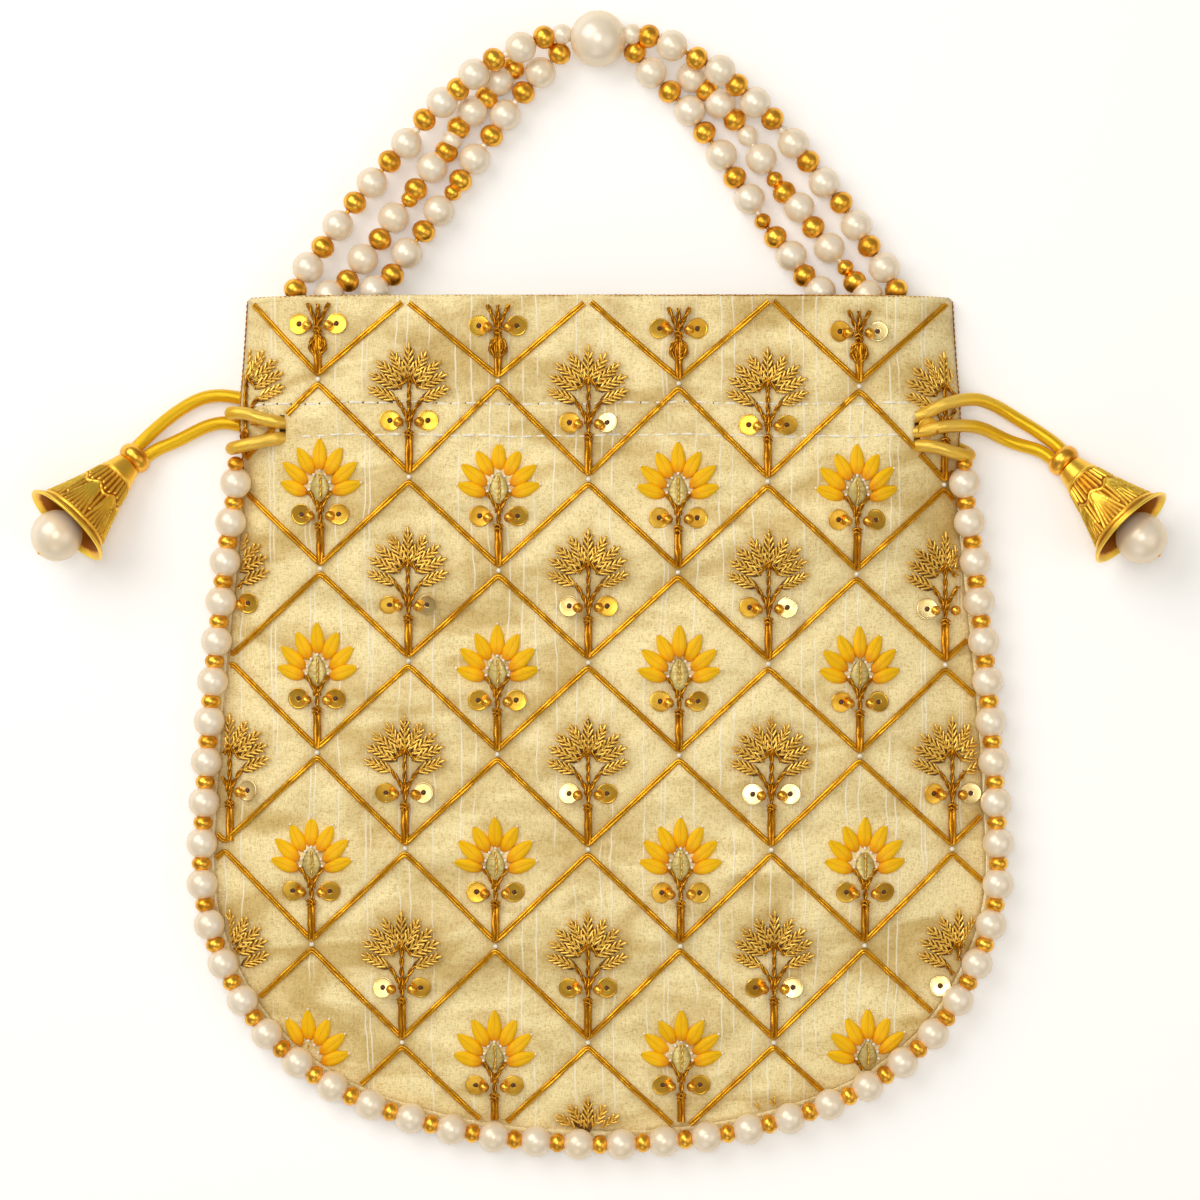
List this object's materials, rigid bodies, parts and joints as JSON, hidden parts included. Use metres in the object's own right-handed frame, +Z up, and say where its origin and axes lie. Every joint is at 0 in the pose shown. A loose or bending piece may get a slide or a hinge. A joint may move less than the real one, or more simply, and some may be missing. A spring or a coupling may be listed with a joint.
{
  "type": "potli bag",
  "caption": "Embroidered silk drawstring pouch with a round bottom, pearl edging, a beaded strand handle and bell tassels on its cords.",
  "frame": {"origin": "on the floor, under the middle of the bag and its handle, without the tassels and their cords", "axes": "+Y from the bottom of the bag to the handle, +Z up out of the embroidered front, +X to the right"},
  "size_m": [0.2837, 0.2877, 0.0229],
  "materials": {
    "silk": "slubbed raw silk, champagne",
    "lining": "plain satin lining",
    "pearl": "imitation pearl lustre",
    "gold_thread": "metallic gold thread",
    "petal_silk": "satin stitch in silk",
    "satin_cord": "satin cord",
    "gold_metal": "polished gold plate",
    "antique_gold": "antique gold, engraved"
  },
  "bodies": {
    "bag": {"front_panel": "silk", "back_panel": "silk", "lining": "lining", "edge_pearl_strand": "pearl", "gold_work_row_1": "gold_thread", "gold_work_row_2": "gold_thread", "gold_work_row_3": "gold_thread", "gold_work_row_4": "gold_thread", "gold_work_row_5": "gold_thread", "gold_work_row_6": "gold_thread", "gold_work_row_7": "gold_thread", "gold_work_row_8": "gold_thread", "gold_work_row_9": "gold_thread", "flower_01": "petal_silk", "flower_02": "petal_silk", "flower_03": "petal_silk", "flower_04": "petal_silk", "flower_05": "petal_silk", "flower_06": "petal_silk", "flower_07": "petal_silk", "flower_08": "petal_silk", "flower_09": "petal_silk", "flower_10": "petal_silk", "flower_11": "petal_silk", "flower_12": "petal_silk", "flower_13": "petal_silk", "flower_14": "petal_silk", "flower_15": "petal_silk", "flower_16": "petal_silk", "cord_right_upper": "satin_cord", "cord_right_lower": "satin_cord", "cord_right_wrap": "satin_cord", "cord_left_upper": "satin_cord", "cord_left_lower": "satin_cord", "cord_left_upper_wrap": "satin_cord", "cord_left_lower_wrap": "satin_cord", "channel_cord_front_upper": "satin_cord", "channel_cord_back_upper": "satin_cord", "channel_cord_front_lower": "satin_cord", "channel_cord_back_lower": "satin_cord", "tassel_ring_left": "gold_metal", "tassel_bell_left": "antique_gold", "tassel_pearl_left": "pearl", "tassel_pin_left": "gold_metal", "tassel_ring_right": "gold_metal", "tassel_bell_right": "antique_gold", "tassel_pearl_right": "pearl", "tassel_pin_right": "gold_metal"},
    "handle": {"handle_strand_outer_left": "pearl", "handle_strand_outer_right": "pearl", "handle_strand_middle_left": "pearl", "handle_strand_middle_right": "pearl", "handle_strand_inner_left": "pearl", "handle_strand_inner_right": "pearl", "grip_pearl": "pearl"}
  },
  "joints": [
    {"name": "handle_lift", "type": "hinge", "parent": "bag", "child": "handle", "pos_m": [0, 0.0763, 0.006], "axis": [1, 0, 0], "range_deg": [0, 90]}
  ]
}
